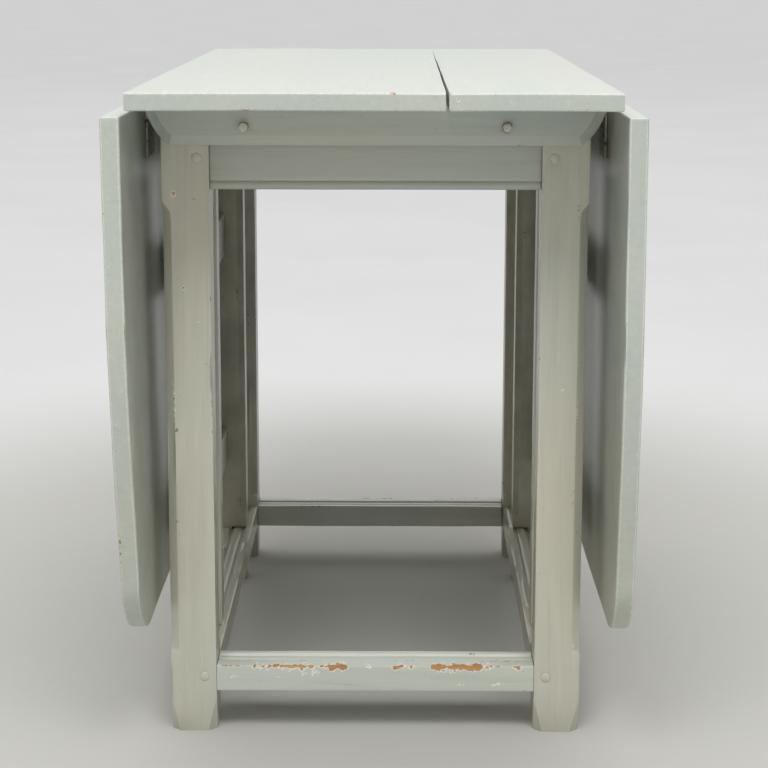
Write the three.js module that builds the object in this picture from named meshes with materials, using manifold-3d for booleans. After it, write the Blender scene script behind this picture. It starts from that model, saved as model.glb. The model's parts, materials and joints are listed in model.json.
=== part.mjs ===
// Gateleg table with two drop leaves, closed: leaves hanging, gates folded against the frame.
// Millimetres, +Z up, origin on the floor under the middle of the table. Y runs along the table.
// Each side has a gate that turns about a stile near the -Y end and carries its leaf when open.

import * as THREE from "three";
import { mergeVertices } from "three/addons/utils/BufferGeometryUtils.js";
import Module from "manifold-3d";

const wasm = await Module();
wasm.setup();

// Overall sizes
const TABLE_HEIGHT = 740;
const TOP_LENGTH = 1082;
const TOP_WIDTH = 506;
const TOP_THICKNESS = 19;
const TOP_ARRIS = 1.5;
const LEAF_REACH = 575;
const LEAF_THICKNESS = 20;
const FRAME_LENGTH = 762;
const FRAME_WIDTH = 468;
const GAP = 0.35;

// The two top boards meet off centre. The joint has opened at the -Y end and closes along the length.
const BOARD_JOINT_X = 76;
const JOINT_OPENING = 3.4;
const JOINT_CLOSED_AT_Y = 190;

// A leaf's ends draw in gently from DRAW_START out to DRAW_END, and then turn the corner.
const LEAF_DRAW_START = 220;
const LEAF_DRAW_END = 511;
const LEAF_DRAW = 44;
const LEAF_CORNER = 130;

// Legs
const LEG = 52;
const LEG_CHAMFER_DEPTH = 7;
const CHAMFER_TOP = 621;
const CHAMFER_BOTTOM = 88;
const TOP_TONGUE = 31;
const BOTTOM_TONGUE = 13;
const FOOT_CHAMFER_HEIGHT = 42;

// Rails under the top, and the stretchers above the floor
const RAIL_HEIGHT = 97;
const RAIL_THICKNESS = 24;
const RAIL_SETBACK = 6;
const RAIL_BEAD = 5;
const SIDE_RAIL_THICKNESS = 26;
const SIDE_RAIL_INSET = 2;
const STRETCHER_BOTTOM = 48.5;
const STRETCHER_HEIGHT = 30.5;
const STRETCHER_BEAD_INSET = 19.5;
const STRETCHER_BEAD_HALF_WIDTH = 6;
const STRETCHER_BEAD_HEIGHT = 3;
const STRETCHER_GROOVE_WIDTH = 3;
const TENON = 12;

// Cleats that hold the top boards together, across both ends of the frame
const CLEAT_HEIGHT = 46;
const CLEAT_THICKNESS = 28;
const CLEAT_WIDTH = 500;
const CLEAT_END_DRAW = 27;
const CLEAT_CHAMFER = 11;
const CLEAT_CHAMFER_DEPTH = 9;
const CLEAT_PEG_X = 141.5;
const CLEAT_PEG_DROP = 25.5;
const CLEAT_PEG_PROUD = 10;

// Pegs
const PEG_RADIUS = 5.2;
const PEG_PROUD = 1;
const PEG_CLEARANCE = 0.35;
const RAIL_PEG_DROP = 61.5;
const LEG_PEG_INSET = 38.5;

// Gates
const GATE_THICKNESS = 44;
const GATE_STILE_THICKNESS = 46.5;
const GATE_STILE_WIDTH = 32;
const GATE_LEG_WIDTH = 42;
const GATE_STILE_Y = -218;
const GATE_LEG_Y = 232;
const GATE_RAIL_THICKNESS = 19;
const GATE_UPPER_RAIL = [470, 528];
const GATE_LOWER_RAIL = [175, 226];
const GATE_TENON_THICKNESS = 9;
const GATE_TENON_LENGTH = 22;
const GATE_CHAMFER_DEPTH = 6;
const PINTLE_RADIUS = 7;
const PINTLE_LENGTH = 22;
const SWING_CLEARANCE = 3;

// Leaf hinges
const HINGE_DROP = 5;
const HINGE_Y = 290;
const HINGE_LENGTH = 60;
const HINGE_KNUCKLE = 20;
const HINGE_PLATE = 2.4;
const HINGE_RADIUS = 4.5;
const HINGE_PIN_RADIUS = 2;
const HINGE_FIXED_REACH = 39;
const HINGE_LEAF_REACH = 62;
const LEAF_EDGE_GAP = 1;

// Places worked out from the sizes above
const UNDERSIDE = TABLE_HEIGHT - TOP_THICKNESS;
const FRAME_TOP = UNDERSIDE - GAP;
const HALF_LENGTH = FRAME_LENGTH / 2;
const HALF_WIDTH = FRAME_WIDTH / 2;
const LEG_INNER_X = HALF_WIDTH - LEG;
const LEG_INNER_Y = HALF_LENGTH - LEG;
const RAIL_BOTTOM = UNDERSIDE - RAIL_HEIGHT;
const RAIL_OUTER_Y = HALF_LENGTH - RAIL_SETBACK;
const SIDE_RAIL_X = LEG_INNER_X + SIDE_RAIL_INSET;
const SIDE_RAIL_OUTER_X = SIDE_RAIL_X + SIDE_RAIL_THICKNESS;
const STRETCHER_TOP = STRETCHER_BOTTOM + STRETCHER_HEIGHT;
const GATE_INNER_X = HALF_WIDTH - GATE_THICKNESS;
const GATE_RAIL_X = HALF_WIDTH - GATE_RAIL_THICKNESS / 2;
const PIVOT_X = SIDE_RAIL_X + SIDE_RAIL_THICKNESS / 2;
const HINGE_X = TOP_WIDTH / 2;
const HINGE_Z = UNDERSIDE - HINGE_DROP;
const LAP_X = SIDE_RAIL_OUTER_X;

const finish = (color, roughness, metalness) =>
  new THREE.MeshStandardMaterial({ color, roughness, metalness });
const paint = () => finish(0xb9bdb2, 0.55, 0);
const topPaint = () => finish(0xd9dcd8, 0.45, 0);
const iron = () => finish(0x3a3632, 0.6, 0.8);

// ---- Solids: closed three.js geometry goes in, and manifold joins or cuts it ----

function solid(geometry) {
  const bare = geometry.index ? geometry.toNonIndexed() : geometry.clone();
  bare.deleteAttribute("normal");
  bare.deleteAttribute("uv");
  const merged = mergeVertices(bare, 1e-4);
  const vertProperties = new Float32Array(merged.attributes.position.array);
  const triVerts = new Uint32Array(merged.index.array);
  return new wasm.Manifold(new wasm.Mesh({ numProp: 3, vertProperties, triVerts }));
}

function join(first, ...others) {
  return others.reduce((whole, next) => whole.add(next), first);
}

function cut(first, ...tools) {
  return tools.reduce((rest, tool) => rest.subtract(tool), first);
}

// A box between two corners given in any order
function box([xa, xb], [ya, yb], [za, zb]) {
  const geometry = new THREE.BoxGeometry(Math.abs(xb - xa), Math.abs(yb - ya), Math.abs(zb - za));
  geometry.translate((xa + xb) / 2, (ya + yb) / 2, (za + zb) / 2);
  return solid(geometry);
}

// A cylinder between two values of y
function cylinderY(radius, x, z, [ya, yb], sides = 12) {
  const geometry = new THREE.CylinderGeometry(radius, radius, Math.abs(yb - ya), sides);
  geometry.translate(0, (ya + yb) / 2, 0);
  geometry.rotateY(Math.PI / sides);
  geometry.translate(x, 0, z);
  return solid(geometry);
}

// A cylinder between two values of x
function cylinderX(radius, y, z, [xa, xb], sides = 12) {
  const geometry = new THREE.CylinderGeometry(radius, radius, Math.abs(xb - xa), sides);
  geometry.rotateZ(Math.PI / 2);
  geometry.translate((xa + xb) / 2, y, z);
  return solid(geometry);
}

// A cylinder between two heights
function cylinderZ(radius, x, y, [za, zb], sides = 20) {
  const geometry = new THREE.CylinderGeometry(radius, radius, Math.abs(zb - za), sides);
  geometry.rotateX(Math.PI / 2);
  geometry.translate(x, y, (za + zb) / 2);
  return solid(geometry);
}

// A profile drawn in (across, up) and extruded sideways from start, along across x up
function sweep(shape, across, start, length, curveSegments = 5) {
  const geometry = new THREE.ExtrudeGeometry(shape, {
    depth: length,
    bevelEnabled: false,
    curveSegments,
  });
  return placed(geometry, across, start);
}

// An extrusion drawn in (across, up), set upright with its depth along across x up
function placed(geometry, across, start) {
  const up = new THREE.Vector3(0, 0, 1);
  const along = new THREE.Vector3().crossVectors(across, up);
  const basis = new THREE.Matrix4().makeBasis(across, up, along);
  basis.setPosition(start);
  geometry.applyMatrix4(basis);
  return solid(geometry);
}

// A board lying flat: an outline in (x, y) with softened arrises
function board(outline, bottom, thickness, arris, curveSegments = 10) {
  const geometry = new THREE.ExtrudeGeometry(outline, {
    depth: thickness - 2 * arris,
    bevelThickness: arris,
    bevelSize: arris,
    bevelOffset: -arris,
    bevelSegments: 1,
    curveSegments,
  });
  geometry.translate(0, 0, bottom + arris);
  return solid(geometry);
}

// A plain prism standing on an outline in (x, y)
function prism(outline, bottom, height) {
  const geometry = new THREE.ExtrudeGeometry(outline, { depth: height, bevelEnabled: false });
  geometry.translate(0, 0, bottom);
  return solid(geometry);
}

const table = new THREE.Group();

function addPiece(name, manifold, material) {
  const { vertProperties, triVerts } = manifold.getMesh();
  const geometry = new THREE.BufferGeometry();
  geometry.setAttribute("position", new THREE.BufferAttribute(new Float32Array(vertProperties), 3));
  geometry.setIndex(new THREE.BufferAttribute(new Uint32Array(triVerts), 1));
  geometry.computeVertexNormals();
  const mesh = new THREE.Mesh(geometry, material);
  mesh.name = name;
  table.add(mesh);
}

// ---- Chamfers ----

// A cutter for an upright corner. The outline is (depth from the corner, height).
function cornerCutter(x, y, inwardX, inwardY, outline) {
  const across = new THREE.Vector3(inwardX, inwardY, 0).normalize();
  const along = new THREE.Vector3().crossVectors(across, new THREE.Vector3(0, 0, 1));
  const width = 40;
  const start = new THREE.Vector3(x, y, 0).addScaledVector(along, -width / 2);
  return sweep(outline, across, start, width);
}

// A chamfer that ends in a lamb's tongue at both ends
function stoppedChamfer(bottom, top, depth, bottomTongue, topTongue) {
  const shape = new THREE.Shape();
  shape.moveTo(-6, bottom);
  shape.lineTo(0, bottom);
  const low = bottom + bottomTongue;
  shape.bezierCurveTo(0, bottom + 0.7 * bottomTongue, depth, low - 0.7 * bottomTongue, depth, low);
  const high = top - topTongue;
  shape.lineTo(depth, high);
  shape.bezierCurveTo(depth, high + 0.7 * topTongue, 0, top - 0.7 * topTongue, 0, top);
  shape.lineTo(-6, top);
  return shape;
}

// A flat that widens from nothing to the floor, which makes the foot eight-sided
function footChamfer(height, depth) {
  const shape = new THREE.Shape();
  shape.moveTo(-6, -5);
  shape.lineTo(depth * (1 + 5 / height), -5);
  shape.lineTo(0, height);
  shape.lineTo(-6, height);
  return shape;
}

// ---- Joints between bars and posts ----

// A peg along y through a leg, driven from the table's end
function pegY(x, z, end, length, radius, proud) {
  return cylinderY(radius, x, z, [end * (HALF_LENGTH + proud), end * (HALF_LENGTH - length)], 8);
}

// The tenons of one end rail or end stretcher, with room around them when slack is above 0
function endTenon(side, end, [bottom, top], thickness, centre, length, slack = 0) {
  return box(
    [side * (LEG_INNER_X - 4), side * (LEG_INNER_X + length + slack)],
    [end * (centre - thickness / 2 - slack), end * (centre + thickness / 2 + slack)],
    [bottom - slack, top + slack],
  );
}

// The tenons of one side rail or side stretcher
function sideTenon(side, end, [bottom, top], thickness, centre, length, slack = 0) {
  return box(
    [side * (centre - thickness / 2 - slack), side * (centre + thickness / 2 + slack)],
    [end * (LEG_INNER_Y - 4), end * (LEG_INNER_Y + length + slack)],
    [bottom - slack, top + slack],
  );
}

const RAIL_TENON_SPAN = [RAIL_BOTTOM + 14, FRAME_TOP - 10];
const FOOT_TENON_SPAN = [STRETCHER_BOTTOM + 5, STRETCHER_TOP - 5];
const RAIL_TENON = { span: RAIL_TENON_SPAN, centre: RAIL_OUTER_Y - RAIL_THICKNESS / 2, length: 34 };
const SIDE_TENON = { span: RAIL_TENON_SPAN, centre: PIVOT_X, length: 24 };
const FOOT_TENON = { span: FOOT_TENON_SPAN, centre: HALF_LENGTH - LEG / 2, length: 36 };
const SIDE_FOOT_TENON = { span: FOOT_TENON_SPAN, centre: HALF_WIDTH - LEG / 2, length: 17 };
const RAIL_PEG_Z = UNDERSIDE - RAIL_PEG_DROP;
const FOOT_PEG_Z = STRETCHER_BOTTOM + 17;
const LEG_PEG_X = HALF_WIDTH - LEG_PEG_INSET;
const RAIL_PEG_LENGTH = HALF_LENGTH - (RAIL_TENON.centre - TENON / 2) + 1;
const FOOT_PEG_LENGTH = HALF_LENGTH - (FOOT_TENON.centre - TENON / 2) + 1;

function legPeg(side, end, z, length) {
  return pegY(side * LEG_PEG_X, z, end, length, PEG_RADIUS, PEG_PROUD);
}

// A peg through a cleat into the end rail, left standing well proud of the cleat
function cleatPeg(side, end) {
  const z = UNDERSIDE - CLEAT_PEG_DROP;
  const depth = RAIL_SETBACK + RAIL_THICKNESS - 3;
  return pegY(side * CLEAT_PEG_X, z, end, depth, PEG_RADIUS, CLEAT_THICKNESS + CLEAT_PEG_PROUD);
}

function endTenonOf(t, side, end, slack) {
  return endTenon(side, end, t.span, TENON, t.centre, t.length, slack);
}

function sideTenonOf(t, side, end, slack) {
  return sideTenon(side, end, t.span, TENON, t.centre, t.length, slack);
}

const SIDES = { left: -1, right: 1 };
const ENDS = { front: -1, rear: 1 };

// ---- Legs ----

function leg(side, end) {
  const outerX = side * HALF_WIDTH;
  const innerX = side * LEG_INNER_X;
  const outerY = end * HALF_LENGTH;
  const innerY = end * LEG_INNER_Y;
  const blank = box([innerX, outerX], [innerY, outerY], [0, FRAME_TOP]);
  const stopped = stoppedChamfer(CHAMFER_BOTTOM, CHAMFER_TOP, LEG_CHAMFER_DEPTH, BOTTOM_TONGUE, TOP_TONGUE);
  const foot = footChamfer(FOOT_CHAMFER_HEIGHT, LEG_CHAMFER_DEPTH);
  const cutters = [
    cornerCutter(outerX, outerY, -side, -end, stopped),
    cornerCutter(innerX, innerY, side, end, stopped),
    cornerCutter(outerX, outerY, -side, -end, foot),
    cornerCutter(innerX, innerY, side, end, foot),
    cornerCutter(outerX, innerY, -side, end, foot),
    cornerCutter(innerX, outerY, side, -end, foot),
    endTenonOf(RAIL_TENON, side, end, GAP),
    sideTenonOf(SIDE_TENON, side, end, GAP),
    endTenonOf(FOOT_TENON, side, end, GAP),
    sideTenonOf(SIDE_FOOT_TENON, side, end, GAP),
    pegY(side * LEG_PEG_X, RAIL_PEG_Z, end, RAIL_PEG_LENGTH + 1, PEG_RADIUS + PEG_CLEARANCE, 5),
    pegY(side * LEG_PEG_X, FOOT_PEG_Z, end, FOOT_PEG_LENGTH + 1, PEG_RADIUS + PEG_CLEARANCE, 5),
  ];
  return cut(blank, ...cutters);
}

// ---- Rails and stretchers ----

// An end rail's section, with a bead run along its lower outer edge. Across is measured inwards.
function railSection() {
  const shape = new THREE.Shape();
  const height = RAIL_HEIGHT - GAP;
  const r = RAIL_BEAD;
  shape.moveTo(RAIL_THICKNESS, 0);
  shape.lineTo(RAIL_THICKNESS, height);
  shape.lineTo(0, height);
  shape.lineTo(0, 2 * r + 1.5);
  shape.lineTo(2, 2 * r - 0.4);
  shape.absarc(r, r, r, Math.PI * 0.66, Math.PI * 1.5, false);
  return shape;
}

function endRail(end) {
  const across = new THREE.Vector3(0, -end, 0);
  const length = 2 * (LEG_INNER_X - GAP);
  const start = new THREE.Vector3(end * length / 2, end * RAIL_OUTER_Y, RAIL_BOTTOM);
  const bar = sweep(railSection(), across, start, length);
  const tenons = [-1, 1].map((side) => endTenonOf(RAIL_TENON, side, end));
  const holes = [-1, 1].flatMap((side) => [
    pegY(side * LEG_PEG_X, RAIL_PEG_Z, end, 60, PEG_RADIUS + PEG_CLEARANCE, 5),
    pegY(side * CLEAT_PEG_X, UNDERSIDE - CLEAT_PEG_DROP, end, 60, PEG_RADIUS + PEG_CLEARANCE, 5),
  ]);
  return cut(join(bar, ...tenons), ...holes);
}

function sideRail(side) {
  const edge = LEG_INNER_Y - GAP;
  const bar = box([side * SIDE_RAIL_X, side * SIDE_RAIL_OUTER_X], [-edge, edge], [RAIL_BOTTOM, FRAME_TOP]);
  const tenons = [-1, 1].map((end) => sideTenonOf(SIDE_TENON, side, end));
  const deep = [RAIL_BOTTOM - 5, RAIL_BOTTOM + PINTLE_LENGTH + 1];
  const socket = cylinderZ(PINTLE_RADIUS + GAP, side * PIVOT_X, GATE_STILE_Y, deep);
  return cut(join(bar, ...tenons), socket);
}

// A stretcher's section, with a low bead between two grooves near its inner top edge
function stretcherSection() {
  const shape = new THREE.Shape();
  const beadX = LEG - STRETCHER_BEAD_INSET;
  const half = STRETCHER_BEAD_HALF_WIDTH;
  const low = STRETCHER_HEIGHT - STRETCHER_BEAD_HEIGHT;
  const slope = 2.5;
  const groove = half + STRETCHER_GROOVE_WIDTH;
  shape.moveTo(0, 0);
  shape.lineTo(LEG, 0);
  shape.lineTo(LEG, STRETCHER_HEIGHT);
  shape.lineTo(beadX + groove + slope, STRETCHER_HEIGHT);
  shape.lineTo(beadX + groove, low);
  shape.lineTo(beadX + half, low);
  shape.absellipse(beadX, low, half, STRETCHER_BEAD_HEIGHT - 0.3, 0, Math.PI, false);
  shape.lineTo(beadX - groove, low);
  shape.lineTo(beadX - groove - slope, STRETCHER_HEIGHT);
  shape.lineTo(0, STRETCHER_HEIGHT);
  return shape;
}

function endStretcher(end) {
  const across = new THREE.Vector3(0, -end, 0);
  const length = 2 * (LEG_INNER_X - GAP);
  const start = new THREE.Vector3(end * length / 2, end * HALF_LENGTH, STRETCHER_BOTTOM);
  const bar = sweep(stretcherSection(), across, start, length);
  const tenons = [-1, 1].map((side) => endTenonOf(FOOT_TENON, side, end));
  const holes = [-1, 1].map((side) =>
    pegY(side * LEG_PEG_X, FOOT_PEG_Z, end, 60, PEG_RADIUS + PEG_CLEARANCE, 5));
  return cut(join(bar, ...tenons), ...holes);
}

// A side stretcher carries its gate's stile, and is halved where the gate leg crosses it
function sideStretcher(side) {
  const across = new THREE.Vector3(-side, 0, 0);
  const length = 2 * (LEG_INNER_Y - GAP);
  const start = new THREE.Vector3(side * HALF_WIDTH, -side * length / 2, STRETCHER_BOTTOM);
  const bar = sweep(stretcherSection(), across, start, length);
  const tenons = [-1, 1].map((end) => sideTenonOf(SIDE_FOOT_TENON, side, end));
  const deep = [STRETCHER_TOP - PINTLE_LENGTH - 1, STRETCHER_TOP + 5];
  const socket = cylinderZ(PINTLE_RADIUS + GAP, side * PIVOT_X, GATE_STILE_Y, deep);
  const half = GATE_LEG_WIDTH / 2;
  const lap = box(
    [side * LAP_X, side * (HALF_WIDTH + 5)],
    [GATE_LEG_Y - half - SWING_CLEARANCE, GATE_LEG_Y + half + 0.6],
    [STRETCHER_BOTTOM - 5, STRETCHER_TOP + 5],
  );
  return cut(join(bar, ...tenons), socket, lap);
}

// ---- Top ----

// Both boards are cut out of the whole top, so that only its outside arrises are softened
function wholeTop() {
  const shape = new THREE.Shape();
  const half = TOP_LENGTH / 2;
  shape.moveTo(-TOP_WIDTH / 2, -half);
  shape.lineTo(TOP_WIDTH / 2, -half);
  shape.lineTo(TOP_WIDTH / 2, half);
  shape.lineTo(-TOP_WIDTH / 2, half);
  return board(shape, UNDERSIDE, TOP_THICKNESS, TOP_ARRIS);
}

function wideBoard() {
  const shape = new THREE.Shape();
  const half = TOP_LENGTH / 2;
  shape.moveTo(-TOP_WIDTH, -half - 5);
  shape.lineTo(BOARD_JOINT_X - JOINT_OPENING, -half - 5);
  shape.lineTo(BOARD_JOINT_X - JOINT_OPENING, -half);
  shape.lineTo(BOARD_JOINT_X - GAP, JOINT_CLOSED_AT_Y);
  shape.lineTo(BOARD_JOINT_X - GAP, half + 5);
  shape.lineTo(-TOP_WIDTH, half + 5);
  return wholeTop().intersect(prism(shape, UNDERSIDE - 5, TOP_THICKNESS + 10));
}

function narrowBoard() {
  const half = TOP_LENGTH / 2;
  const side = box([BOARD_JOINT_X, TOP_WIDTH], [-half - 5, half + 5], [UNDERSIDE - 5, TABLE_HEIGHT + 5]);
  return wholeTop().intersect(side);
}

// A cleat's outline: drawn-in ends, carried on above the cleat so that only its top is cut square
function cleatOutline() {
  const shape = new THREE.Shape();
  const wide = CLEAT_WIDTH / 2;
  const narrow = wide - CLEAT_END_DRAW;
  const height = CLEAT_HEIGHT - GAP;
  const above = height + 2 * CLEAT_CHAMFER;
  shape.moveTo(-narrow, 0);
  shape.lineTo(narrow, 0);
  shape.quadraticCurveTo(wide - 6, height * 0.35, wide, height);
  shape.lineTo(wide, above);
  shape.lineTo(-wide, above);
  shape.lineTo(-wide, height);
  shape.quadraticCurveTo(-wide + 6, height * 0.35, -narrow, 0);
  return shape;
}

// A cleat with a wide chamfer round the lower edge and the ends of its outer face
function cleat(end) {
  const bottom = UNDERSIDE - CLEAT_HEIGHT;
  const inner = end * (HALF_LENGTH + GAP);
  const outer = end * (HALF_LENGTH + GAP + CLEAT_THICKNESS);
  const geometry = new THREE.ExtrudeGeometry(cleatOutline(), {
    depth: CLEAT_THICKNESS,
    bevelThickness: CLEAT_CHAMFER_DEPTH,
    bevelSize: CLEAT_CHAMFER,
    bevelOffset: -CLEAT_CHAMFER,
    bevelSegments: 1,
    curveSegments: 6,
  });
  const start = new THREE.Vector3(0, outer - end * CLEAT_CHAMFER_DEPTH, bottom);
  const chamfered = placed(geometry, new THREE.Vector3(end, 0, 0), start);
  const extent = box([-CLEAT_WIDTH, CLEAT_WIDTH], [inner, outer], [bottom - 5, FRAME_TOP]);
  const holes = [-1, 1].map((side) =>
    pegY(side * CLEAT_PEG_X, UNDERSIDE - CLEAT_PEG_DROP, end, 60, PEG_RADIUS + PEG_CLEARANCE, 60));
  return cut(chamfered.intersect(extent), ...holes);
}

// One end of a leaf's outline as it lies raised, from the hinge edge outwards, at the given side of y
function leafEnd(end) {
  const half = TOP_LENGTH / 2;
  const at = (reach, drawn) => [reach, end * (half - drawn)];
  const turn = LEAF_REACH - LEAF_DRAW_END;
  return {
    start: at(LEAF_DRAW_START, 0),
    lead: at(LEAF_DRAW_START + 80, 0),
    slope: at(LEAF_DRAW_END - 91, LEAF_DRAW - 17),
    corner: at(LEAF_DRAW_END, LEAF_DRAW),
    leave: at(LEAF_DRAW_END + turn * 0.45, LEAF_DRAW + turn * 0.09),
    arrive: at(LEAF_REACH, LEAF_CORNER - 50),
    end: at(LEAF_REACH, LEAF_CORNER),
  };
}

function leafOutline() {
  const shape = new THREE.Shape();
  const half = TOP_LENGTH / 2;
  const near = leafEnd(-1);
  const far = leafEnd(1);
  shape.moveTo(0, -half);
  shape.lineTo(...near.start);
  shape.bezierCurveTo(...near.lead, ...near.slope, ...near.corner);
  shape.bezierCurveTo(...near.leave, ...near.arrive, ...near.end);
  shape.lineTo(...far.end);
  shape.bezierCurveTo(...far.arrive, ...far.leave, ...far.corner);
  shape.bezierCurveTo(...far.slope, ...far.lead, ...far.start);
  shape.lineTo(0, half);
  return shape;
}

// The leaf is made lying with its underside at zero, and then hung on its hinge line
function leaf(side) {
  const geometry = new THREE.ExtrudeGeometry(leafOutline(), {
    depth: LEAF_THICKNESS - 2 * TOP_ARRIS,
    bevelThickness: TOP_ARRIS,
    bevelSize: TOP_ARRIS,
    bevelOffset: -TOP_ARRIS,
    bevelSegments: 1,
    curveSegments: 12,
  });
  geometry.translate(LEAF_EDGE_GAP, 0, TOP_ARRIS + HINGE_DROP);
  geometry.rotateY(Math.PI / 2);
  geometry.translate(HINGE_X, 0, HINGE_Z);
  if (side < 0) geometry.rotateZ(Math.PI);
  return solid(geometry);
}

// ---- Leaf hinges ----

function hingeFixedFlap(side, y) {
  const half = HINGE_LENGTH / 2;
  const knuckle = HINGE_KNUCKLE / 2;
  const top = HINGE_Z + HINGE_RADIUS;
  const plate = box(
    [side * (HINGE_X - HINGE_FIXED_REACH), side * HINGE_X],
    [y - half, y + half],
    [top - HINGE_PLATE, top],
  );
  const barrel = cylinderY(HINGE_RADIUS, side * HINGE_X, HINGE_Z, [y - half, y + half]);
  const slot = box(
    [side * (HINGE_X - 6), side * (HINGE_X + 6)],
    [y - knuckle - GAP, y + knuckle + GAP],
    [HINGE_Z - 7, HINGE_Z + 7],
  );
  const bore = cylinderY(HINGE_PIN_RADIUS + GAP, side * HINGE_X, HINGE_Z, [y - half - 2, y + half + 2]);
  return cut(join(plate, barrel), slot, bore);
}

function hingeLeafFlap(side, y) {
  const half = HINGE_LENGTH / 2;
  const knuckle = HINGE_KNUCKLE / 2;
  const outer = HINGE_X + HINGE_RADIUS;
  const plate = box(
    [side * (outer - HINGE_PLATE), side * outer],
    [y - half, y + half],
    [HINGE_Z - HINGE_LEAF_REACH, HINGE_Z - 6],
  );
  const neck = box(
    [side * (outer - HINGE_PLATE), side * outer],
    [y - knuckle, y + knuckle],
    [HINGE_Z - 8, HINGE_Z],
  );
  const barrel = cylinderY(HINGE_RADIUS, side * HINGE_X, HINGE_Z, [y - knuckle, y + knuckle]);
  const bored = [y - knuckle - 2, y + knuckle + 2];
  const bore = cylinderY(HINGE_PIN_RADIUS + GAP, side * HINGE_X, HINGE_Z, bored);
  return cut(join(plate, neck, barrel), bore);
}

function hingePin(side, y) {
  const half = HINGE_LENGTH / 2 + 2;
  return cylinderY(HINGE_PIN_RADIUS, side * HINGE_X, HINGE_Z, [y - half, y + half]);
}

// ---- Gates ----

function gateRailTenons(side, [bottom, top], slack = 0) {
  const half = GATE_TENON_THICKNESS / 2 + slack;
  const reach = GATE_TENON_LENGTH + slack;
  const stileEdge = GATE_STILE_Y + GATE_STILE_WIDTH / 2;
  const legEdge = GATE_LEG_Y - GATE_LEG_WIDTH / 2;
  return box(
    [side * (GATE_RAIL_X - half), side * (GATE_RAIL_X + half)],
    [stileEdge - reach, legEdge + reach],
    [bottom + 6 - slack, top - 6 + slack],
  );
}

// A gate rail is flush with the outside of the stile and the gate leg
function gateRail(side, [bottom, top]) {
  const half = GATE_RAIL_THICKNESS / 2;
  const stileEdge = GATE_STILE_Y + GATE_STILE_WIDTH / 2;
  const legEdge = GATE_LEG_Y - GATE_LEG_WIDTH / 2;
  const bar = box(
    [side * (GATE_RAIL_X - half), side * (GATE_RAIL_X + half)],
    [stileEdge + GAP, legEdge - GAP],
    [bottom, top],
  );
  return cut(join(bar, gateRailTenons(side, [bottom, top])), ...gatePegHoles(side));
}

const GATE_PEGS = {
  upper_stile: [GATE_STILE_Y + 6, (GATE_UPPER_RAIL[0] + GATE_UPPER_RAIL[1]) / 2],
  upper_leg: [GATE_LEG_Y - 7, (GATE_UPPER_RAIL[0] + GATE_UPPER_RAIL[1]) / 2],
  lower_stile: [GATE_STILE_Y + 6, (GATE_LOWER_RAIL[0] + GATE_LOWER_RAIL[1]) / 2],
  lower_leg: [GATE_LEG_Y - 7, (GATE_LOWER_RAIL[0] + GATE_LOWER_RAIL[1]) / 2],
};
const GATE_PEG_RADIUS = 4.5;

function gatePeg(side, [y, z], radius, proud) {
  return cylinderX(radius, y, z, [side * (GATE_INNER_X + 4), side * (HALF_WIDTH + proud)], 8);
}

function gatePegHoles(side) {
  return Object.values(GATE_PEGS).map((place) => gatePeg(side, place, GATE_PEG_RADIUS + PEG_CLEARANCE, 5));
}

// The stile turns on two round pintles, in the side rail above and the side stretcher below
function gateStile(side) {
  const half = GATE_STILE_WIDTH / 2;
  const bottom = STRETCHER_TOP + 0.6;
  const top = RAIL_BOTTOM - 0.6;
  const wide = [GATE_STILE_Y - half, GATE_STILE_Y + half];
  const inner = HALF_WIDTH - GATE_STILE_THICKNESS;
  const post = box([side * inner, side * HALF_WIDTH], wide, [bottom, top]);
  const pintles = [
    cylinderZ(PINTLE_RADIUS, side * PIVOT_X, GATE_STILE_Y, [bottom - PINTLE_LENGTH, bottom + 1]),
    cylinderZ(PINTLE_RADIUS, side * PIVOT_X, GATE_STILE_Y, [top - 1, top + PINTLE_LENGTH]),
  ];
  const sockets = [GATE_UPPER_RAIL, GATE_LOWER_RAIL].map((rail) => gateRailTenons(side, rail, GAP));
  return cut(join(post, ...pintles), ...sockets, ...gatePegHoles(side));
}

// The gate leg stands on the floor. It is halved over the stretcher and set back outside the side rail.
function gateLeg(side) {
  const half = GATE_LEG_WIDTH / 2;
  const ya = GATE_LEG_Y - half;
  const yb = GATE_LEG_Y + half;
  const post = box([side * GATE_INNER_X, side * HALF_WIDTH], [ya, yb], [0, UNDERSIDE - 0.6]);
  const inside = [side * (GATE_INNER_X - 5), side * (LAP_X + 0.5)];
  const stretcherLap = box(inside, [ya - 5, yb + 5], [STRETCHER_BOTTOM - 0.6, STRETCHER_TOP + 0.6]);
  const railLap = box(inside, [ya - 5, yb + 5], [RAIL_BOTTOM - 0.6, UNDERSIDE + 5]);
  const low = STRETCHER_TOP + 12;
  const high = RAIL_BOTTOM - 14;
  const stopped = stoppedChamfer(low, high, GATE_CHAMFER_DEPTH, BOTTOM_TONGUE, TOP_TONGUE);
  const foot = footChamfer(FOOT_CHAMFER_HEIGHT, GATE_CHAMFER_DEPTH);
  const cutters = [
    cornerCutter(side * GATE_INNER_X, ya, side, 1, stopped),
    cornerCutter(side * GATE_INNER_X, ya, side, 1, foot),
    cornerCutter(side * GATE_INNER_X, yb, side, -1, foot),
    cornerCutter(side * HALF_WIDTH, ya, -side, 1, foot),
    cornerCutter(side * HALF_WIDTH, yb, -side, -1, foot),
  ];
  const sockets = [GATE_UPPER_RAIL, GATE_LOWER_RAIL].map((rail) => gateRailTenons(side, rail, GAP));
  return cut(post, stretcherLap, railLap, ...cutters, ...sockets, ...gatePegHoles(side));
}

// ---- The whole table ----

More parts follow.
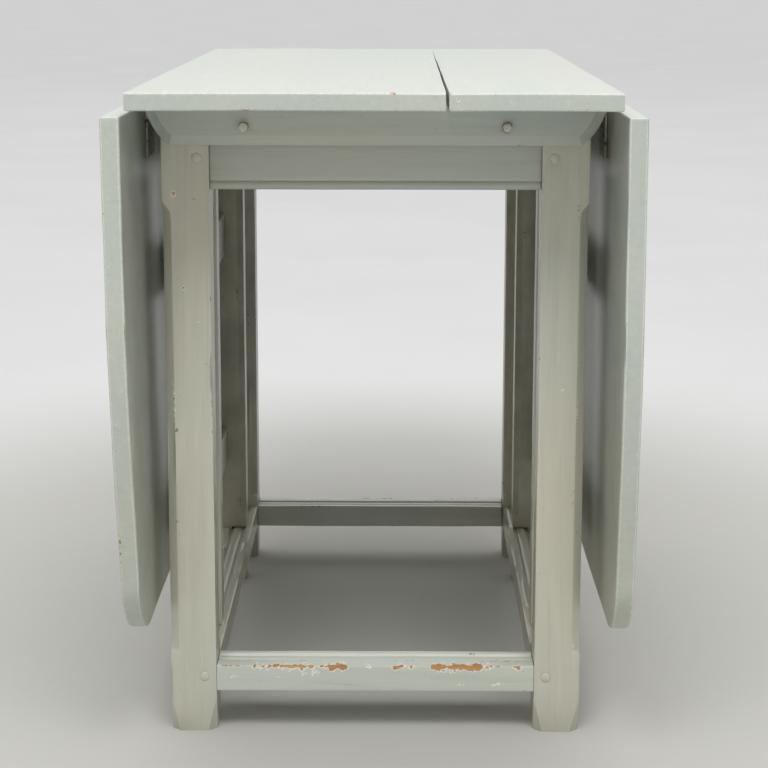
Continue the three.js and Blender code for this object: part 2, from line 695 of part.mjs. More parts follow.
for (const [sideName, side] of Object.entries(SIDES)) {
  for (const [endName, end] of Object.entries(ENDS)) {
    const corner = `${endName}_${sideName}`;
    addPiece(`leg_${corner}`, leg(side, end), paint());
    addPiece(`rail_peg_${corner}`, legPeg(side, end, RAIL_PEG_Z, RAIL_PEG_LENGTH), paint());
    addPiece(`stretcher_peg_${corner}`, legPeg(side, end, FOOT_PEG_Z, FOOT_PEG_LENGTH), paint());
    addPiece(`cleat_peg_${corner}`, cleatPeg(side, end), paint());
    const hinge = end * HINGE_Y;
    addPiece(`hinge_fixed_flap_${corner}`, hingeFixedFlap(side, hinge), iron());
    addPiece(`hinge_leaf_flap_${corner}`, hingeLeafFlap(side, hinge), iron());
    addPiece(`hinge_pin_${corner}`, hingePin(side, hinge), iron());
  }
  addPiece(`side_rail_${sideName}`, sideRail(side), paint());
  addPiece(`side_stretcher_${sideName}`, sideStretcher(side), paint());
  addPiece(`leaf_${sideName}`, leaf(side), topPaint());
  addPiece(`gate_stile_${sideName}`, gateStile(side), paint());
  addPiece(`gate_leg_${sideName}`, gateLeg(side), paint());
  addPiece(`gate_upper_rail_${sideName}`, gateRail(side, GATE_UPPER_RAIL), paint());
  addPiece(`gate_lower_rail_${sideName}`, gateRail(side, GATE_LOWER_RAIL), paint());
  for (const [place, at] of Object.entries(GATE_PEGS)) {
    addPiece(`gate_peg_${place}_${sideName}`, gatePeg(side, at, GATE_PEG_RADIUS, PEG_PROUD), paint());
  }
}
for (const [endName, end] of Object.entries(ENDS)) {
  addPiece(`end_rail_${endName}`, endRail(end), paint());
  addPiece(`end_stretcher_${endName}`, endStretcher(end), paint());
  addPiece(`cleat_${endName}`, cleat(end), paint());
}
addPiece("top_board_wide", wideBoard(), topPaint());
addPiece("top_board_narrow", narrowBoard(), topPaint());

export default table;
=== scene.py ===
"""Looks of an old gateleg table in grey-green oil paint, closed, with both leaves hanging.

Every CAD node is copied, its arrises are rounded, its faces are divided and given the slight
unevenness of hand work, and the copy stands for the node. All materials are procedural.
"""
import json
import math

import bmesh
import bpy
from mathutils import Matrix, Vector, noise

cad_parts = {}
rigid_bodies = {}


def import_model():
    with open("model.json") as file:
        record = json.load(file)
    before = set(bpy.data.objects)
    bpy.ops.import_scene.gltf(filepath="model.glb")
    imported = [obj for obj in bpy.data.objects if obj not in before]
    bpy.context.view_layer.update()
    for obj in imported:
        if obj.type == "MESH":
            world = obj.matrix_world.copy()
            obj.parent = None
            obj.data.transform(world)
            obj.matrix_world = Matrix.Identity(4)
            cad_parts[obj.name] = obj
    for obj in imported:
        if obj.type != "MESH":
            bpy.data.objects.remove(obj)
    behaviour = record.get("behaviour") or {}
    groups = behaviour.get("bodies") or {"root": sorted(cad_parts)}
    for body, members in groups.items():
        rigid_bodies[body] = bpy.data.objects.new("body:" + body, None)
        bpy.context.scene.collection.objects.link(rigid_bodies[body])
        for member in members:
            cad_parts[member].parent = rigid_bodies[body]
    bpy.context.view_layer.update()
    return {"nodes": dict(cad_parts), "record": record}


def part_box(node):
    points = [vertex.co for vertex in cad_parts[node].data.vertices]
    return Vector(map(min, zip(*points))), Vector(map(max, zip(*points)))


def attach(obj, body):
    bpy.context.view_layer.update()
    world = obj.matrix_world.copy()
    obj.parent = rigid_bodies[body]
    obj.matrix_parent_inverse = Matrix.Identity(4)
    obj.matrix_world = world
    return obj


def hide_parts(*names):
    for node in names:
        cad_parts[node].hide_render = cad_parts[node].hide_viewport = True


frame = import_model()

MM = 0.001
X, Y, Z = 0, 1, 2
BODY_OF = {n: b for b, nodes in frame["record"]["behaviour"]["bodies"].items() for n in nodes}


# ---- Camera ----

# Fitted to the table's straight edges: metres, radians, and the lens in millimetres
CAMERA_PLACE = Vector((0.0232, -2.6419, 0.8686))
CAMERA_DOWN = 0.2008
CAMERA_TURN = -0.0060
CAMERA_ROLL = 0.0017
CAMERA_LENS = 97.1
SENSOR_WIDTH = 36


def make_camera():
    data = bpy.data.cameras.new("camera")
    data.lens = CAMERA_LENS
    data.sensor_width = SENSOR_WIDTH
    camera = bpy.data.objects.new("camera", data)
    bpy.context.scene.collection.objects.link(camera)
    level = Matrix.Rotation(math.pi / 2, 3, "X")
    aim = Matrix.Rotation(-CAMERA_TURN, 3, "Z") @ level @ Matrix.Rotation(-CAMERA_DOWN, 3, "X")
    camera.rotation_euler = (aim @ Matrix.Rotation(CAMERA_ROLL, 3, "Z")).to_euler()
    camera.location = CAMERA_PLACE
    bpy.context.scene.camera = camera


# ---- Material nodes ----

class Graph:
    """A material's node tree, with short calls for the nodes that the finishes share."""

    def __init__(self, name):
        self.material = bpy.data.materials.new(name)
        self.material.use_nodes = True
        self.tree = self.material.node_tree
        self.shader = self.tree.nodes["Principled BSDF"]
        self.objects = self.add("ShaderNodeTexCoord").outputs["Object"]

    def add(self, kind, **settings):
        made = self.tree.nodes.new(kind)
        for key, value in settings.items():
            setattr(made, key, value)
        return made

    def put(self, socket, value):
        if isinstance(value, bpy.types.NodeSocket):
            self.tree.links.new(value, socket)
        else:
            socket.default_value = value

    def stretched(self, stretch, shift=(0, 0, 0)):
        """Object coordinates scaled by a vector, so a texture runs long where the scale is small."""
        mapping = self.add("ShaderNodeMapping")
        self.put(mapping.inputs["Vector"], self.objects)
        mapping.inputs["Scale"].default_value = stretch
        mapping.inputs["Location"].default_value = shift
        return mapping.outputs["Vector"]

    def noise(self, scale, detail=3.0, rough=0.5, vector=None, distortion=0.0):
        made = self.add("ShaderNodeTexNoise")
        self.put(made.inputs["Vector"], vector or self.objects)
        made.inputs["Scale"].default_value = scale
        made.inputs["Detail"].default_value = detail
        made.inputs["Roughness"].default_value = rough
        made.inputs["Distortion"].default_value = distortion
        return made.outputs["Fac"]

    def ramp(self, value, low, high, to_low=0.0, to_high=1.0):
        made = self.add("ShaderNodeMapRange", interpolation_type="SMOOTHSTEP")
        self.put(made.inputs["Value"], value)
        made.inputs["From Min"].default_value = low
        made.inputs["From Max"].default_value = high
        made.inputs["To Min"].default_value = to_low
        made.inputs["To Max"].default_value = to_high
        return made.outputs["Result"]

    def math(self, operation, a, b=0.0):
        made = self.add("ShaderNodeMath", operation=operation)
        self.put(made.inputs[0], a)
        self.put(made.inputs[1], b)
        return made.outputs[0]

    def mix(self, factor, a, b):
        made = self.add("ShaderNodeMix", data_type="RGBA")
        self.put(made.inputs["Factor"], factor)
        self.put(made.inputs["A"], a)
        self.put(made.inputs["B"], b)
        return made.outputs["Result"]

    def attribute(self, name):
        return self.add("ShaderNodeAttribute", attribute_name=name).outputs["Fac"]

    def bump(self, height, strength, distance, normal=None):
        made = self.add("ShaderNodeBump")
        made.inputs["Strength"].default_value = strength
        made.inputs["Distance"].default_value = distance
        self.put(made.inputs["Height"], height)
        if normal is not None:
            self.put(made.inputs["Normal"], normal)
        return made.outputs["Normal"]


def srgb(red, green, blue):
    """A display colour, 0 to 255, as the linear colour that a shader takes."""
    def linear(c):
        c /= 255
        return c / 12.92 if c <= 0.04045 else ((c + 0.055) / 1.055) ** 2.4
    return (linear(red), linear(green), linear(blue), 1)


FRAME_PAINT = {"coat": srgb(204, 203, 186), "cool": srgb(199, 200, 186), "warm": srgb(206, 200, 180)}
TOP_PAINT = {"coat": srgb(188, 193, 183), "cool": srgb(184, 191, 182), "warm": srgb(191, 192, 178)}
END_PAINT = {"coat": srgb(204, 207, 196), "cool": srgb(200, 206, 197), "warm": srgb(206, 206, 190)}
PRIMER = srgb(236, 234, 222)
BARE_WOOD = srgb(205, 151, 93)
DARK_WOOD = srgb(104, 66, 42)
# Dark of grain lines, brush marks and specks; also the colour of the painted shade on inward faces
# and of grime near the floor
GRIME_AND_SHADE = srgb(92, 79, 58)
HINGE_PAINT = srgb(166, 166, 150)
BLACK_IRON = srgb(40, 38, 36)
GREY_IRON = srgb(66, 62, 58)
RUST = srgb(96, 58, 36)
# Floor tones by distance from the table: painted shade near it, a painted pool of light further out,
# then the far floor
NEAR_FLOOR_SHADE = srgb(190, 189, 184)
MIDDLE_FLOOR_LIGHT = srgb(222, 222, 222)
FAR_FLOOR = srgb(211, 211, 211)
FLOOR_CLOUD = srgb(184, 184, 180)

# Wear on the front legs: centre and reach in millimetres, and how far the paint has gone, 0 to 1
FRONT_LEG_WEAR = (
    ((-226, -381, 392), (7, 8, 46), 0.44),
    ((-221, -381, 621), (7, 4, 9), 0.62),
    ((-212, -381, 516), (4, 4, 7), 0.44),
    ((-196, -381, 476), (4, 4, 5), 0.7),
    ((226, -381, 380), (4, 6, 26), 0.66),
    ((226, -381, 477), (3, 4, 6), 0.7),
    ((226, -381, 429), (3, 4, 5), 0.66),
    ((209, -381, 401), (4, 4, 6), 0.44),
    ((227, -381, 106), (4, 6, 18), 0.62),
)
# The same for the top's front edge, beside the joint
TOP_WEAR = (((85, -541, 733), (5, 4, 4), 0.62), ((94, -541, 732), (2, 3, 3), 0.75))


def coat_colour(g, axis, colours):
    """Two close tones in long soft streaks, with warmer clouds where the paint has yellowed."""
    long = [1.0, 1.0, 1.0]
    long[axis] = 0.12
    streak = g.noise(11.0, 4, 0.55, g.stretched(long, (5, 3, 8)))
    cloud = g.noise(3.2, 2)
    colour = g.mix(g.ramp(streak, 0.36, 0.64), colours["cool"], colours["coat"])
    return g.mix(g.ramp(cloud, 0.45, 0.7, 0, 0.7), colour, colours["warm"])


def flakes(g, edge):
    """Where paint has come off an arris: small sharp-sided patches in a few places."""
    flake = g.noise(170.0, 4, 0.6, g.stretched((1, 1, 1), (2, 9, 4)))
    places = g.noise(15.0, 3, 0.6, g.stretched((1, 1, 1), (6, 1, 3)))
    sharp = g.math("MULTIPLY", g.ramp(flake, 0.55, 0.57), g.ramp(places, 0.6, 0.64))
    return g.math("MULTIPLY", g.ramp(edge, 0.3, 0.45), sharp)


def worn_spot(g, centre, reach):
    """1 at a point on a piece, falling to 0 at an ellipsoid round it. Millimetres."""
    near = g.add("ShaderNodeMapping")
    g.put(near.inputs["Vector"], g.objects)
    near.inputs["Scale"].default_value = [1 / (r * MM) for r in reach]
    near.inputs["Location"].default_value = [-c / r for c, r in zip(centre, reach)]
    away = g.add("ShaderNodeVectorMath", operation="LENGTH")
    g.put(away.inputs[0], near.outputs["Vector"])
    return g.ramp(away.outputs["Value"], 0, 1, 1, 0)


def paint_material(name, axis, colours, dirt_and_shade_strength=0.45, wear=(), relief=1.0):
    """Oil paint brushed along the grain: long streaks, brush marks, raised grain, worn arrises, grime
    near the floor and painted shade on inward faces.
    """
    g = Graph(name)
    along = [1.0, 1.0, 1.0]
    along[axis] = 0.03
    brushed = [1.0, 1.0, 1.0]
    brushed[axis] = 0.06
    grain = g.noise(330.0, 5, 0.62, g.stretched(along), 0.2)
    brush = g.noise(120.0, 4, 0.6, g.stretched(brushed, (3, 1, 2)))
    colour = coat_colour(g, axis, colours)
    colour = g.mix(g.ramp(grain, 0.52, 0.8, 0, 0.13), colour, GRIME_AND_SHADE)
    colour = g.mix(g.ramp(brush, 0.28, 0.5, 0.06, 0), colour, GRIME_AND_SHADE)
    colour = g.mix(g.ramp(brush, 0.55, 0.75, 0, 0.16), colour, PRIMER)
    edge = g.attribute("edge")
    fine = g.noise(420.0, 2, 0.5)
    rub = g.math("MULTIPLY", g.ramp(edge, 0.45, 0.9), g.ramp(fine, 0.3, 0.6, 0.1, 0.5))
    colour = g.mix(rub, colour, PRIMER)
    off = flakes(g, edge)
    uncovered = g.mix(g.ramp(fine, 0.4, 0.6), DARK_WOOD, BARE_WOOD)
    colour = g.mix(g.math("MULTIPLY", off, 0.85), colour, uncovered)
    speck = g.ramp(g.noise(240.0, 1, 0.5, g.stretched((1, 1, 1), (7, 7, 7))), 0.79, 0.81, 0, 0.6)
    colour = g.mix(speck, colour, GRIME_AND_SHADE)
    scuff = g.ramp(g.noise(34.0, 5, 0.7, g.stretched((1, 1, 1), (4, 2, 6)), 1.2), 0.68, 0.74, 0, 0.5)
    colour = g.mix(scuff, colour, PRIMER)
    gone = g.attribute("chip")
    for centre, reach, strength in wear:
        spot = g.math("MULTIPLY", worn_spot(g, centre, reach), strength)
        gone = g.math("MAXIMUM", gone, spot)
    chip = g.math("ADD", gone, g.ramp(g.noise(150.0, 4, 0.65), 0.3, 0.7, -0.22, 0.22))
    colour = g.mix(g.ramp(chip, 0.34, 0.42, 0, 0.9), colour, PRIMER)
    bare = g.ramp(chip, 0.5, 0.56)
    wood = g.mix(g.ramp(grain, 0.35, 0.65, 0, 0.45), BARE_WOOD, DARK_WOOD)
    wood = g.mix(g.ramp(chip, 0.5, 0.64, 0.5, 0), wood, DARK_WOOD)
    colour = g.mix(bare, colour, wood)
    # Painted shade on inward faces, together with real grime near the floor, darkens the paint here
    dirt_and_shade = g.math("MULTIPLY", g.attribute("dirt_and_shade"), g.ramp(g.noise(17.0, 4, 0.6), 0.3, 0.7, 0.4, 1))
    colour = g.mix(g.math("MULTIPLY", dirt_and_shade, dirt_and_shade_strength), colour, GRIME_AND_SHADE)
    g.put(g.shader.inputs["Base Color"], colour)
    lost = g.math("MAXIMUM", off, bare)
    rough = g.ramp(brush, 0.3, 0.7, 0.33 - 0.04 * relief, 0.33 + 0.04 * relief)
    g.put(g.shader.inputs["Roughness"], g.math("ADD", rough, g.math("MULTIPLY", lost, 0.3)))
    normal = g.bump(grain, 0.05 * relief, 0.0003)
    normal = g.bump(brush, 0.08 * relief, 0.0003, normal)
    normal = g.bump(g.math("SUBTRACT", 1.0, lost), 0.6, 0.0004, normal)
    g.put(g.shader.inputs["Normal"], normal)
    return g.material


def iron_material():
    """Forged hinge iron, painted over with the table, with rusty patches where the paint has gone."""
    g = Graph("hinge_iron")
    scale = g.noise(140.0, 5, 0.6)
    rust = g.ramp(g.noise(60.0, 4, 0.65), 0.48, 0.62)
    iron = g.mix(g.ramp(scale, 0.35, 0.7), BLACK_IRON, GREY_IRON)
    iron = g.mix(g.math("MULTIPLY", rust, 0.7), iron, RUST)
    bare = g.ramp(g.noise(75.0, 5, 0.65, g.stretched((1, 1, 1), (3, 6, 1))), 0.57, 0.6)
    g.put(g.shader.inputs["Base Color"], g.mix(bare, HINGE_PAINT, iron))
    g.put(g.shader.inputs["Roughness"], g.ramp(scale, 0.3, 0.7, 0.4, 0.7))
    g.put(g.shader.inputs["Normal"], g.bump(scale, 0.4, 0.0006))
    return g.material


def floor_material():
    """Pale matt studio floor with painted shade near the table, a painted pool of light around it, a
    dimmer far floor, and faint unevenness.
    """
    g = Graph("pale_floor")
    away = g.add("ShaderNodeVectorMath", operation="LENGTH")
    g.put(away.inputs[0], g.objects)
    distance = away.outputs["Value"]
    # Painted shade near the table brightens into a painted pool of light, then dims towards the far
    # floor
    colour = g.mix(g.ramp(distance, 0.7, 1.9), NEAR_FLOOR_SHADE, MIDDLE_FLOOR_LIGHT)
    colour = g.mix(g.ramp(distance, 4.0, 16.0), colour, FAR_FLOOR)
    cloud = g.ramp(g.noise(1.3, 3), 0.3, 0.7, 0, 0.1)
    g.put(g.shader.inputs["Base Color"], g.mix(cloud, colour, FLOOR_CLOUD))
    g.put(g.shader.inputs["Roughness"], g.ramp(g.noise(60.0, 2), 0.3, 0.7, 0.8, 0.9))
    return g.material


# By place and by the axis of the grain. The end rails and cleats share the top's colours.
PAINT = {
    ("frame", X): paint_material("frame_paint_x", X, FRAME_PAINT),
    ("frame", Y): paint_material("frame_paint_y", Y, FRAME_PAINT),
    ("frame", Z): paint_material("frame_paint_z", Z, FRAME_PAINT),
    ("front leg", Z): paint_material("front_leg_paint", Z, FRAME_PAINT, wear=FRONT_LEG_WEAR),
    ("end", X): paint_material("end_paint", X, END_PAINT),
    ("top", X): paint_material("top_paint_x", X, TOP_PAINT),
    ("top", Y): paint_material("top_paint_y", Y, TOP_PAINT, 0.2, TOP_WEAR, 0.35),
}
IRON = iron_material()


# ---- Fine shapes from the CAD nodes ----

# Degrees: between CAD triangles of one flat face, at arrises that are rounded, at creases left crisp
FLAT_ANGLE = 1.0
ARRIS_ANGLE = 40
CREASE_ANGLE = 12
ARRIS_SEGMENTS = 2
# Metres: how close two vertices are joined
WELD = 2e-5
# Metres: two sizes of unevenness in a hand-planed face, and how strong the finer one is
LONG_WAVE = 0.09
SHORT_WAVE = 0.03
SHORT_WAVE_SHARE = 0.4
# Millimetres from a face's ends to its first slices
END_MARGIN = 4


def smooth_noise(point, size, seed):
    """Noise from -1 to 1 whose lumps are about size across."""
    return noise.noise(Vector(point) / size + Vector((seed, seed * 1.7, seed * 2.3)))


def slice_along(bm, axis, places):
    normal = Vector((0, 0, 0))
    normal[axis] = 1
    for place in places:
        bmesh.ops.bisect_plane(
            bm,
            geom=bm.verts[:] + bm.edges[:] + bm.faces[:],
            dist=1e-6,
            plane_co=normal * place,
            plane_no=normal,
        )


def spread(low, high, margin, step):
    """Places to slice between two ends: one near each end and even ones between."""
    first, last = low + margin, high - margin
    if last - first < 2e-3:
        return [(low + high) / 2]
    count = max(1, round((last - first) / step))
    return [first + (last - first) * i / count for i in range(count + 1)]


def cleaned(node):
    """A node's CAD mesh as an editable one, with its triangles joined into flat faces."""
    bm = bmesh.new()
    bm.from_mesh(frame["nodes"][node].data)
    bmesh.ops.remove_doubles(bm, verts=bm.verts[:], dist=WELD)
    flat = math.radians(FLAT_ANGLE)
    bmesh.ops.dissolve_limit(bm, angle_limit=flat, verts=bm.verts[:], edges=bm.edges[:])
    return bm


def is_arris(edge):
    """Whether an edge stands out and is sharp enough to be rounded by wear."""
    return edge.is_manifold and edge.is_convex and edge.calc_face_angle(0) > math.radians(ARRIS_ANGLE)


def round_arrises(bm, arris, crisp):
    """Bevel the arrises, apart from any that must stay crisp, and mark the faces that this makes."""
    worn = bm.faces.layers.int.new("worn")
    edges = [edge for edge in bm.edges if is_arris(edge) and not (crisp and crisp(edge))]
    made = bmesh.ops.bevel(
        bm, geom=edges, offset=arris * MM, offset_type="OFFSET", segments=ARRIS_SEGMENTS,
        profile=0.5, affect="EDGES", clamp_overlap=True, material=-1,
    )
    for face in made["faces"]:
        face[worn] = 1
    return worn


def edge_wear(vert, worn):
    """1 along the middle of a rounded arris, one half at its borders, 0 on flat faces."""
    touched = [f[worn] for f in vert.link_faces]
    if all(touched):
        return 1.0
    return 0.5 if any(touched) else 0.0


def shade(bm, worn):
    """Smooth shading over rounded arrises, and crisp shading where two flat faces meet."""
    for face in bm.faces:
        face.smooth = True
    for edge in bm.edges:
        rounded = any(face[worn] for face in edge.link_faces)
        edge.smooth = rounded or edge.calc_face_angle(0) < math.radians(CREASE_ANGLE)


# How dark the painted shade on inward faces gets, 0 to 1
INSIDE_SHADE = 0.9


def inside_painted_shade(vert):
    """Painted shade on faces that look towards the middle of the table, darker the more they face it.
    """
    inward = Vector((-vert.co.x, -vert.co.y, 0)).normalized()
    return INSIDE_SHADE * min(1.0, max(0.0, inward.dot(vert.normal) * 2))


def unevenness(place, seed):
    """The lift of a hand-planed face at a place, as a share of its strongest."""
    fine = SHORT_WAVE_SHARE * smooth_noise(place, SHORT_WAVE, seed + 5)
    return smooth_noise(place, LONG_WAVE, seed) + fine


def worked_copy(node, step, arris, wave, shape=None, crisp=None):
    """A node's mesh with rounded arrises, divided faces and a hand-planed surface.

    Step, arris and wave are in millimetres: how finely the faces are divided along x, y and z, how
    wide the arrises are worn, and how uneven the faces are. Shape says how a vertex moves further,
    and crisp says which edges keep their arris.
    """
    bm = cleaned(node)
    worn = round_arrises(bm, arris, crisp)
    layers = {name: bm.verts.layers.float.new(name) for name in ("edge", "chip", "dirt_and_shade")}
    low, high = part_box(node)
    for axis in (X, Y, Z):
        slice_along(bm, axis, spread(low[axis], high[axis], END_MARGIN * MM, step[axis] * MM))
    bm.normal_update()
    for vert in bm.verts:
        vert[layers["edge"]] = edge_wear(vert, worn)
        vert[layers["dirt_and_shade"]] = inside_painted_shade(vert)
    seed = sum(ord(c) for c in node) % 97
    moves = []
    for vert in bm.verts:
        move = vert.normal * wave * unevenness(vert.co, seed) * MM
        if shape:
            move += shape(vert, low, high, layers)
        moves.append(move)
    for vert, move in zip(bm.verts, moves):
        vert.co += move
    bmesh.ops.triangulate(bm, faces=[f for f in bm.faces if len(f.verts) > 4])
    shade(bm, worn)
    mesh = bpy.data.meshes.new(node + "_worked")
    bm.to_mesh(mesh)
    bm.free()
    return mesh


def show(node, mesh, material):
    """Put a mesh in a node's place, riding on the node's body."""
    piece = bpy.data.objects.new(node + "_fine", mesh)
    bpy.context.scene.collection.objects.link(piece)
    mesh.materials.append(material)
    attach(piece, BODY_OF[node])
    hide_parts(node)


FLOOR_DIRT = 0.6
FLOOR_DIRT_HEIGHT = 40


def floor_dirt(vert, low, high, layers):
    """Grime gathers towards the floor."""
    near_floor = FLOOR_DIRT * max(0.0, 1 - vert.co.z / (FLOOR_DIRT_HEIGHT * MM))
    vert[layers["dirt_and_shade"]] = max(vert[layers["dirt_and_shade"]], near_floor)
    return Vector((0, 0, 0))


# The flats of the feet end just below this height
FOOT_TOP = 43


def foot_edge(edge):
    """Whether an edge belongs to the flats of a foot."""
    return all(v.co.z < FOOT_TOP * MM for v in edge.verts)


PEG_SWELL = 0.4


def snug_peg(vert, low, high, layers):
    """Swell a peg that lies along the table until it fills its hole."""
    middle = (low + high) / 2
    radial = Vector((vert.co.x - middle.x, 0, vert.co.z - middle.z))
    return radial.normalized() * PEG_SWELL * MM


# Knocks along the front stretcher's outer top arris: from, to, in millimetres along x, and strength
FRONT_KNOCKS = (
    (-139, -121, 0.62), (-116, -70, 0.68), (-62, -55, 0.6), (-52, -34, 0.95), (-12, -7, 0.5),
    (22, 33, 0.72), (40, 46, 0.52), (66, 80, 1.0), (84, 122, 0.95), (124, 134, 0.6), (158, 167, 0.6),
)
# Scuffs on its face, where the primer shows: from, to, and height above its lower edge
FRONT_SCUFFS = (
    (-168, -150, 19), (-128, -122, 18), (-114, -104, 15), (-90, -66, 20), (96, 104, 8), (134, 150, 9),
)
REAR_KNOCKS = ((-120, -92, 0.7), (-70, -60, 0.55), (-25, 18, 0.9), (60, 71, 0.6), (104, 150, 0.8))
KNOCK_FADE = 5
KNOCK_DEPTH = 1.2
# How far from the arris paint is lost and wood is dented, and how far a scuff spreads
CHIP_REACH = 11
DENT_REACH = 3
SCUFF_REACH = 9
SCUFF_STRENGTH = 0.36
# The end stretchers' inner faces get less painted shade than the other inner faces, by this factor
STRETCHER_SHADE = 0.3


def knock_at(x, knocks):
    """How hard the arris is knocked at x, falling off within a few millimetres of each knock."""
    hardest = 0.0
    for start, stop, strength in knocks:
        outside = max(start - x, x - stop, 0.0)
        hardest = max(hardest, strength * (1 - outside / KNOCK_FADE))
    return hardest


def scuff_at(x, z):
    """Light scuffing that only reaches the primer."""
    reach = [max(start - x, x - stop, 0.0) + abs(z - height) for start, stop, height in FRONT_SCUFFS]
    return SCUFF_STRENGTH * max(0.0, 1 - min(reach) / SCUFF_REACH)


def knocked_stretcher(vert, low, high, layers):
    """Paint and wood knocked off the outer top arris, where feet have rested."""
    front = low.y < 0
    outer = low.y if front else high.y
    inward = 1 if front else -1
    from_arris = max(abs(vert.co.y - outer), high.z - vert.co.z) / MM
    strength = knock_at(vert.co.x / MM, FRONT_KNOCKS if front else REAR_KNOCKS)
    # Less painted shade on this stretcher's inward faces
    vert[layers["dirt_and_shade"]] *= STRETCHER_SHADE
    chip = strength * max(0.0, 1 - from_arris / CHIP_REACH)
    if front and abs(vert.co.y - outer) < 2 * MM:
        chip = max(chip, scuff_at(vert.co.x / MM, (vert.co.z - low.z) / MM))
    vert[layers["chip"]] = chip
    if from_arris > DENT_REACH:
        return Vector((0, 0, 0))
    depth = KNOCK_DEPTH * strength * MM
    return Vector((0, inward * 0.6 * depth, -depth))


# From here to the rear the joint between the top boards is closed and full of paint
JOINT_FILLED_FROM = 150
JOINT_FILL = 0.4
CROWN = 0.9


def crowned_board(vert, low, high, layers):
    """A top board, crowned a little across its width."""
    across = (vert.co.x - low.x) / (high.x - low.x)
    along = 0.6 + 0.4 * smooth_noise((0, vert.co.y, 0), 0.5, 2)
    crown = CROWN * MM * math.sin(math.pi * across) * along
    narrow = low.x > 0
    filled = narrow and vert.co.x - low.x < 0.1 * MM and vert.co.y > JOINT_FILLED_FROM * MM
    return Vector((-JOINT_FILL * MM if filled else 0, 0, crown))


# How far an edge of the open joint may lie from its closed side
JOINT_WIDTH = 5


def board_joint(edge):
    """Whether an edge belongs to the joint between the two top boards."""
    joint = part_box("top_board_narrow")[0].x
    return all(abs(v.co.x - joint) < JOINT_WIDTH * MM for v in edge.verts)


# How far each leaf leans towards +X at its lower edge, and how the lean grows downwards
LEFT_LEAN = 6.0
RIGHT_LEAN = 3.0
LEAN_CURVE = 1.3


def warped_leaf(lean):
    """A leaf that hangs a little out of plumb, more and more towards its lower edge."""
    def shape(vert, low, high, layers):
        down = (high.z - vert.co.z) / (high.z - low.z)
        return Vector((lean * MM * down ** LEAN_CURVE, 0, 0))
    return shape


def painted(node, step, arris, grain, wave=0.3, shape=None, crisp=None, paint="frame"):
    """Show a painted piece of the frame, whose brush marks run along the grain axis."""
    mesh = worked_copy(node, step, arris, wave, shape=shape, crisp=crisp)
    show(node, mesh, PAINT[paint, grain])


HINGE_PLATE = 2.4
NAIL_RADIUS = 3.2
NAIL_RISE = 0.9
NAIL_SPACING = 19
FIXED_NAIL_INSET = 12
LEAF_NAIL_INSET = 14


def nail_places(node):
    """Where a hinge flap is nailed, and the reach of each nail's head, on the flap's open face."""
    low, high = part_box(node)
    side = 1 if low.x > 0 else -1
    near, far = sorted((abs(low.x), abs(high.x)))
    if "fixed" in node:
        x, z = side * (near + FIXED_NAIL_INSET * MM), high.z - HINGE_PLATE * MM
        reach = (NAIL_RADIUS, NAIL_RADIUS, NAIL_RISE)
    else:
        x, z = side * (far - HINGE_PLATE * MM), low.z + LEAF_NAIL_INSET * MM
        reach = (NAIL_RISE, NAIL_RADIUS, NAIL_RADIUS)
    middle = (low.y + high.y) / 2
    return [Vector((x, middle + i * NAIL_SPACING * MM, z)) for i in (-1, 0, 1)], reach


def add_nails(mesh, node):
    """Three low nail heads on a hinge flap."""
    bm = bmesh.new()
    bm.from_mesh(mesh)
    places, reach = nail_places(node)
    for place in places:
        head = Matrix.Translation(place) @ Matrix.Diagonal((*[r * MM for r in reach], 1))
        bmesh.ops.create_icosphere(bm, subdivisions=2, radius=1, matrix=head)
    for face in bm.faces:
        face.smooth = True
    bm.to_mesh(mesh)
    bm.free()


def build_corner(corner):
    paint = "front leg" if "front" in corner else "frame"
    painted(f"leg_{corner}", (26, 26, 24), 1.1, Z, shape=floor_dirt, crisp=foot_edge, paint=paint)
    for peg in ("rail_peg", "stretcher_peg"):
        painted(f"{peg}_{corner}", (6, 6, 6), 0.8, Y, 0.25, shape=snug_peg)
    painted(f"cleat_peg_{corner}", (6, 6, 6), 0.8, Y, 0.25)
    for part in ("hinge_fixed_flap", "hinge_leaf_flap", "hinge_pin"):
        mesh = worked_copy(f"{part}_{corner}", (12, 12, 12), 0.4, 0.12)
        if part != "hinge_pin":
            add_nails(mesh, f"{part}_{corner}")
        show(f"{part}_{corner}", mesh, IRON)


def build_gate(side):
    for part in ("gate_stile", "gate_leg"):
        painted(f"{part}_{side}", (22, 21, 26), 1.1, Z, shape=floor_dirt, crisp=foot_edge)
    for part in ("gate_upper_rail", "gate_lower_rail"):
        painted(f"{part}_{side}", (10, 40, 20), 1.2, Y)
    for place in ("upper_stile", "upper_leg", "lower_stile", "lower_leg"):
        painted(f"gate_peg_{place}_{side}", (6, 6, 6), 0.7, X, 0.2)


def build_side(side):
    painted(f"side_rail_{side}", (13, 40, 24), 1.2, Y)
    painted(f"side_stretcher_{side}", (12, 26, 12), 1.2, Y, shape=floor_dirt)
    lean = LEFT_LEAN if side == "left" else RIGHT_LEAN
    mesh = worked_copy(f"leaf_{side}", (10, 40, 40), 1.1, 0.5, shape=warped_leaf(lean))
    show(f"leaf_{side}", mesh, PAINT["top", Y])


def build_end(end):
    painted(f"end_rail_{end}", (30, 12, 16), 1.0, X, paint="top")
    painted(f"end_stretcher_{end}", (3, 18, 5), 1.1, X, 0.4, knocked_stretcher, paint="end")
    painted(f"cleat_{end}", (25, 14, 15), 1.1, X, paint="top")


def build_top():
    for board in ("top_board_wide", "top_board_narrow"):
        mesh = worked_copy(board, (20, 40, 9), 1.0, 0.5, shape=crowned_board, crisp=board_joint)
        show(board, mesh, PAINT["top", Y])


def build_table():
    for side in ("left", "right"):
        for end in ("front", "rear"):
            build_corner(f"{end}_{side}")
        build_side(side)
        build_gate(side)
    for end in ("front", "rear"):
        build_end(end)
    build_top()


# ---- Stage and light ----

FLOOR_HALF = 500


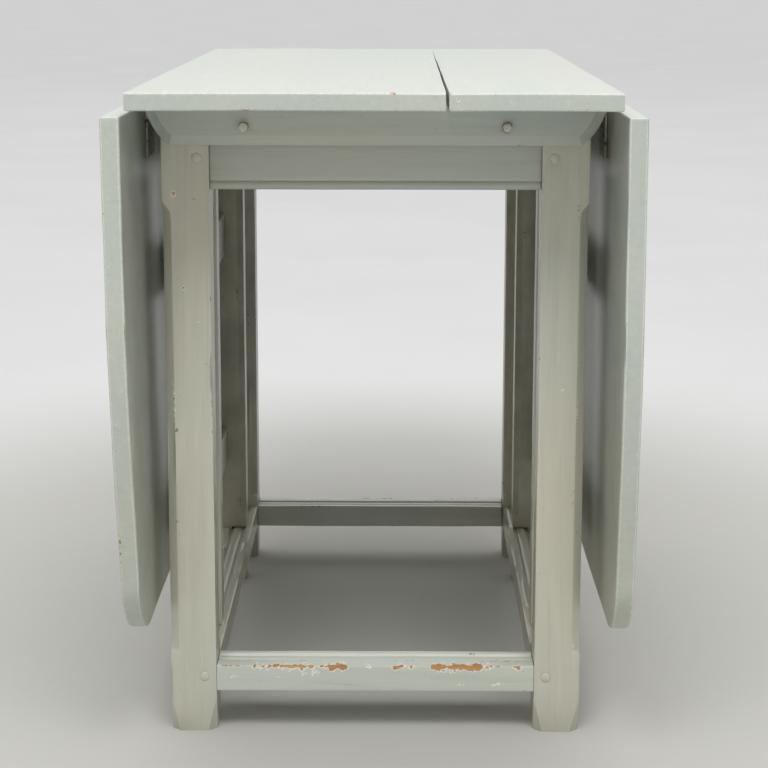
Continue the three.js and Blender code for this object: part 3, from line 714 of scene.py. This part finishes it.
def make_floor():
    mesh = bpy.data.meshes.new("floor")
    half = FLOOR_HALF
    corners = [(-half, -half, 0), (half, -half, 0), (half, half, 0), (-half, half, 0)]
    mesh.from_pydata(corners, [], [(0, 1, 2, 3)])
    mesh.materials.append(floor_material())
    floor = bpy.data.objects.new("floor", mesh)
    bpy.context.scene.collection.objects.link(floor)


LIGHT_PLACE = Vector((0, -2.3, 3.4))
LIGHT_TARGET = Vector((0, -0.2, 0.4))
LIGHT_SIZE = (2.4, 1.2)
LIGHT_POWER = 62


def make_front_light():
    """A wide soft light, high in front of the table."""
    data = bpy.data.lights.new("front", "AREA")
    data.shape = "RECTANGLE"
    data.size, data.size_y = LIGHT_SIZE
    data.energy = LIGHT_POWER
    light = bpy.data.objects.new("front", data)
    bpy.context.scene.collection.objects.link(light)
    light.location = LIGHT_PLACE
    light.rotation_euler = (LIGHT_TARGET - LIGHT_PLACE).to_track_quat("-Z", "Y").to_euler()


# Brightness of the studio: level with the floor, overhead, what the backdrop adds, and the wall
HORIZON = 0.1
ZENITH = 1.3
BACKDROP = 0.7
WALL = 0.6
# The backdrop's edge, as the part of a direction that points along +Y
BACKDROP_EDGE = 0.6


def make_world():
    """A white studio: bright overhead, dim towards the horizon, with a lit backdrop behind.

    Seen directly, above the far floor, it is a plain wall of the floor's own brightness.
    """
    world = bpy.data.worlds.new("studio")
    world.use_nodes = True
    tree = world.node_tree
    background = tree.nodes["Background"]
    direction = tree.nodes.new("ShaderNodeTexCoord")
    split = tree.nodes.new("ShaderNodeSeparateXYZ")
    height = tree.nodes.new("ShaderNodeMapRange")
    tree.links.new(direction.outputs["Generated"], split.inputs["Vector"])
    tree.links.new(split.outputs["Z"], height.inputs["Value"])
    height.inputs["From Min"].default_value = 0
    height.inputs["From Max"].default_value = 1
    height.inputs["To Min"].default_value = HORIZON
    height.inputs["To Max"].default_value = ZENITH
    behind = tree.nodes.new("ShaderNodeMapRange")
    tree.links.new(split.outputs["Y"], behind.inputs["Value"])
    behind.inputs["From Min"].default_value = BACKDROP_EDGE
    behind.inputs["From Max"].default_value = 1
    behind.inputs["To Max"].default_value = BACKDROP
    strength = tree.nodes.new("ShaderNodeMath")
    tree.links.new(height.outputs["Result"], strength.inputs[0])
    tree.links.new(behind.outputs["Result"], strength.inputs[1])
    ray = tree.nodes.new("ShaderNodeLightPath")
    seen = tree.nodes.new("ShaderNodeMix")
    tree.links.new(ray.outputs["Is Camera Ray"], seen.inputs["Factor"])
    tree.links.new(strength.outputs[0], seen.inputs["A"])
    seen.inputs["B"].default_value = WALL
    tree.links.new(seen.outputs["Result"], background.inputs["Strength"])
    background.inputs["Color"].default_value = (1.0, 1.0, 1.0, 1)
    bpy.context.scene.world = world


make_camera()
build_table()
make_floor()
make_world()
make_front_light()
bpy.context.scene.view_settings.view_transform = "Standard"
